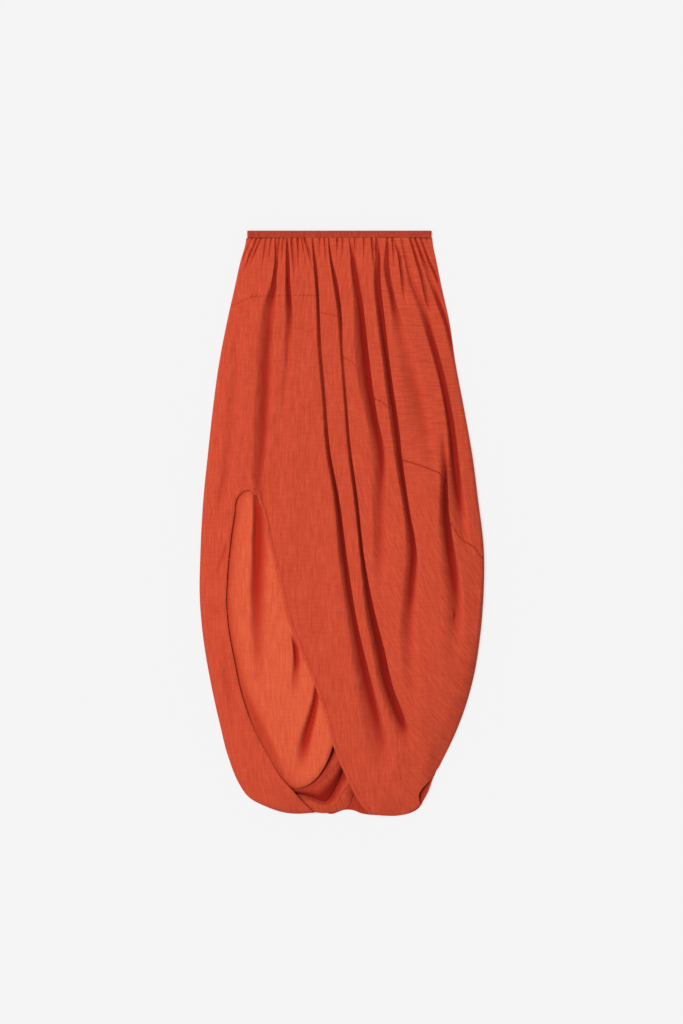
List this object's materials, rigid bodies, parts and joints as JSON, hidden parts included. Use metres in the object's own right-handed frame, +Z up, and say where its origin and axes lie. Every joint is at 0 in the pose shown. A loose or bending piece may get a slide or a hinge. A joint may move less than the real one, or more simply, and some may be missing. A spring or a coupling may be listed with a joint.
{
  "type": "balloon skirt",
  "caption": "Long draped balloon skirt laid flat, with an elastic waist, a gathered yoke, deep slanting folds, a drop-shaped slit over an inner drape and a turned-up hem.",
  "frame": {"origin": "middle of the skirt's outline, on the surface it lies on", "axes": "+Z up from the surface through the front, +Y towards the waist, +X towards the wearer's left side"},
  "size_m": [0.4633, 0.952, 0.0348],
  "materials": {
    "crepe": "matt crinkled terracotta viscose crepe",
    "inner_crepe": "the same crinkled crepe, a little brighter where the light falls into the slit",
    "elastic_crepe": "the same crepe drawn up over elastic in fine ribs"
  },
  "bodies": {
    "root": {"waistband": "elastic_crepe", "front_yoke": "crepe", "front_drape": "crepe", "inner_drape": "inner_crepe", "hem_band": "crepe", "hem_twist": "crepe", "back_panel": "crepe"}
  },
  "joints": []
}
